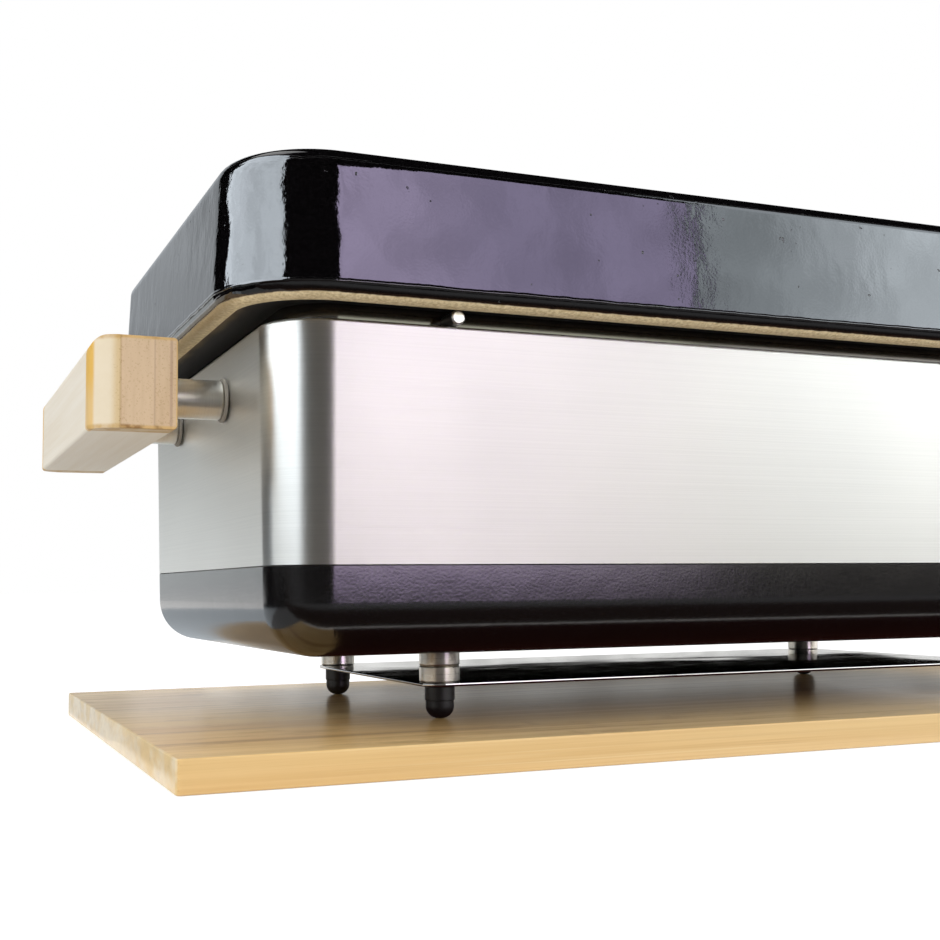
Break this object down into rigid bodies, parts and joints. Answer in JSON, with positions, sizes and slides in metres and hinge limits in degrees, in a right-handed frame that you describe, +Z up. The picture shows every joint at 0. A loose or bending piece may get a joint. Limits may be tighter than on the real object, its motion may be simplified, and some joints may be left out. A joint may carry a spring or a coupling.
{
  "type": "shichirin grill",
  "caption": "Long tabletop charcoal grill: glazed ceramic firebox with a heavy rim in a steel jacket and enamelled pan, wooden handle bars, lift-out grates and a wooden board.",
  "frame": {"origin": "under the middle of the board, on the surface it stands on", "axes": "+X along the length to the right handle, -Y to the front, +Z up"},
  "size_m": [0.5952, 0.298, 0.2282],
  "materials": {
    "board_bamboo": "oiled bamboo",
    "handle_bamboo": "lacquered pale bamboo",
    "foot_rubber": "matt",
    "satin_steel": "satin",
    "polished_steel": "polished",
    "jacket_steel": "brushed",
    "black_enamel": "gloss enamel",
    "black_glaze": "gloss glaze",
    "grate_steel": "drawn wire",
    "dark_iron": "matt",
    "fastener_steel": "zinc plated",
    "insert_brass": "machined",
    "pale_collar": "satin"
  },
  "bodies": {
    "board": {"base_board": "board_bamboo"},
    "casing": {"heat_shield": "polished_steel", "base_pan": "black_enamel", "steel_jacket": "jacket_steel", "foot_studs": "fastener_steel", "foot_washers": "fastener_steel", "foot_nuts": "fastener_steel", "handle_bolts": "fastener_steel", "handle_bolt_washers": "fastener_steel", "handle_inserts": "insert_brass", "handle_bar_left": "handle_bamboo", "handle_bar_right": "handle_bamboo", "rubber_foot_front_left": "foot_rubber", "lower_spacer_front_left": "satin_steel", "upper_spacer_front_left": "satin_steel", "handle_standoff_front_left": "satin_steel", "handle_collar_front_left": "pale_collar", "rubber_foot_front_right": "foot_rubber", "lower_spacer_front_right": "satin_steel", "upper_spacer_front_right": "satin_steel", "handle_standoff_front_right": "satin_steel", "handle_collar_front_right": "pale_collar", "rubber_foot_rear_left": "foot_rubber", "lower_spacer_rear_left": "satin_steel", "upper_spacer_rear_left": "satin_steel", "handle_standoff_rear_left": "satin_steel", "handle_collar_rear_left": "pale_collar", "rubber_foot_rear_right": "foot_rubber", "lower_spacer_rear_right": "satin_steel", "upper_spacer_rear_right": "satin_steel", "handle_standoff_rear_right": "satin_steel", "handle_collar_rear_right": "pale_collar"},
    "firebox": {"firebox": "black_glaze", "rest_pins": "satin_steel"},
    "charcoal_grate": {"charcoal_bars": "dark_iron", "charcoal_rails": "dark_iron"},
    "cooking_grate": {"grate_frame": "grate_steel", "grate_rods": "grate_steel", "grate_braces": "grate_steel"}
  },
  "joints": [
    {"name": "grill_lift", "type": "slide", "parent": "board", "child": "casing", "axis": [0, 0, 1], "range_m": [0, 0.15]},
    {"name": "firebox_lift", "type": "slide", "parent": "casing", "child": "firebox", "axis": [0, 0, 1], "range_m": [0, 0.15]},
    {"name": "cooking_grate_lift", "type": "slide", "parent": "firebox", "child": "cooking_grate", "axis": [0, 0, 1], "range_m": [0, 0.12]},
    {"name": "charcoal_grate_lift", "type": "slide", "parent": "firebox", "child": "charcoal_grate", "axis": [0, 0, 1], "range_m": [0, 0.1]}
  ]
}
